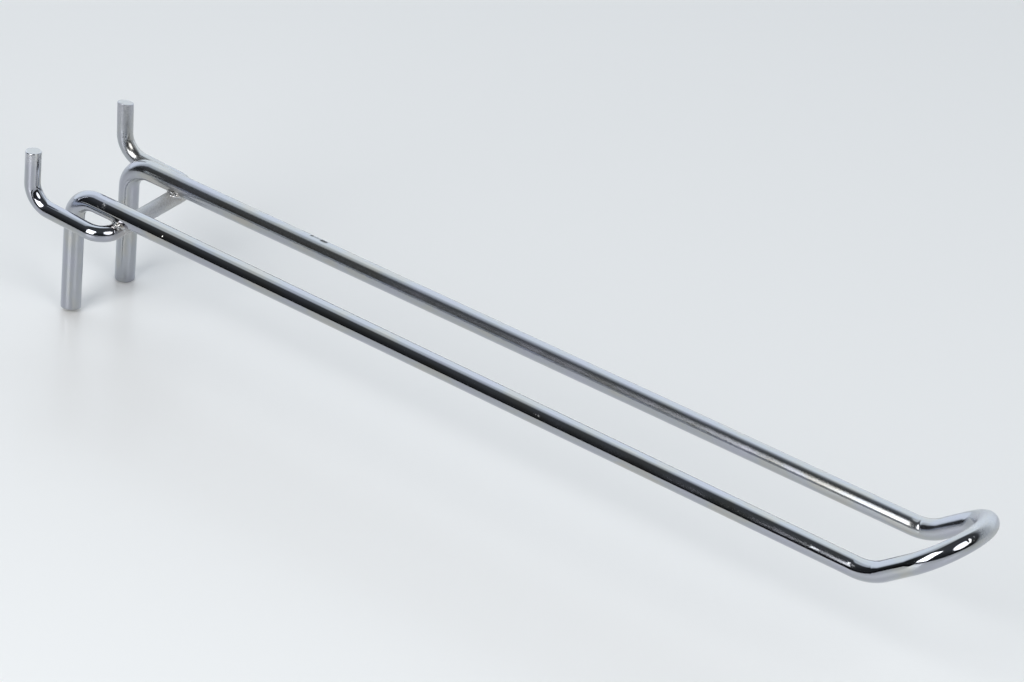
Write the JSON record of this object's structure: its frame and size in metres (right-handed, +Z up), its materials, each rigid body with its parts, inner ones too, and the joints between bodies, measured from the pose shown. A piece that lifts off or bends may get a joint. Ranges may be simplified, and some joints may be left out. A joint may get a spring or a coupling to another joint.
{
  "type": "blister hook",
  "caption": "Welded wire display hook for perforated board: long twin arms with an upturned front loop, legs that bear on the board and upturned prongs that hook into its holes.",
  "frame": {"origin": "on the board's front face, midway between the two prong holes and at their height", "axes": "+X out of the board along the arms, +Y along the row of holes, +Z up"},
  "size_m": [0.3159, 0.0448, 0.059],
  "materials": {
    "arm_wire": "bright zinc plate on drawn steel wire",
    "hook_wire": "bright zinc plate on drawn steel wire"
  },
  "bodies": {
    "root": {"arm_wire": "arm_wire", "hook_wire": "hook_wire"}
  },
  "joints": []
}
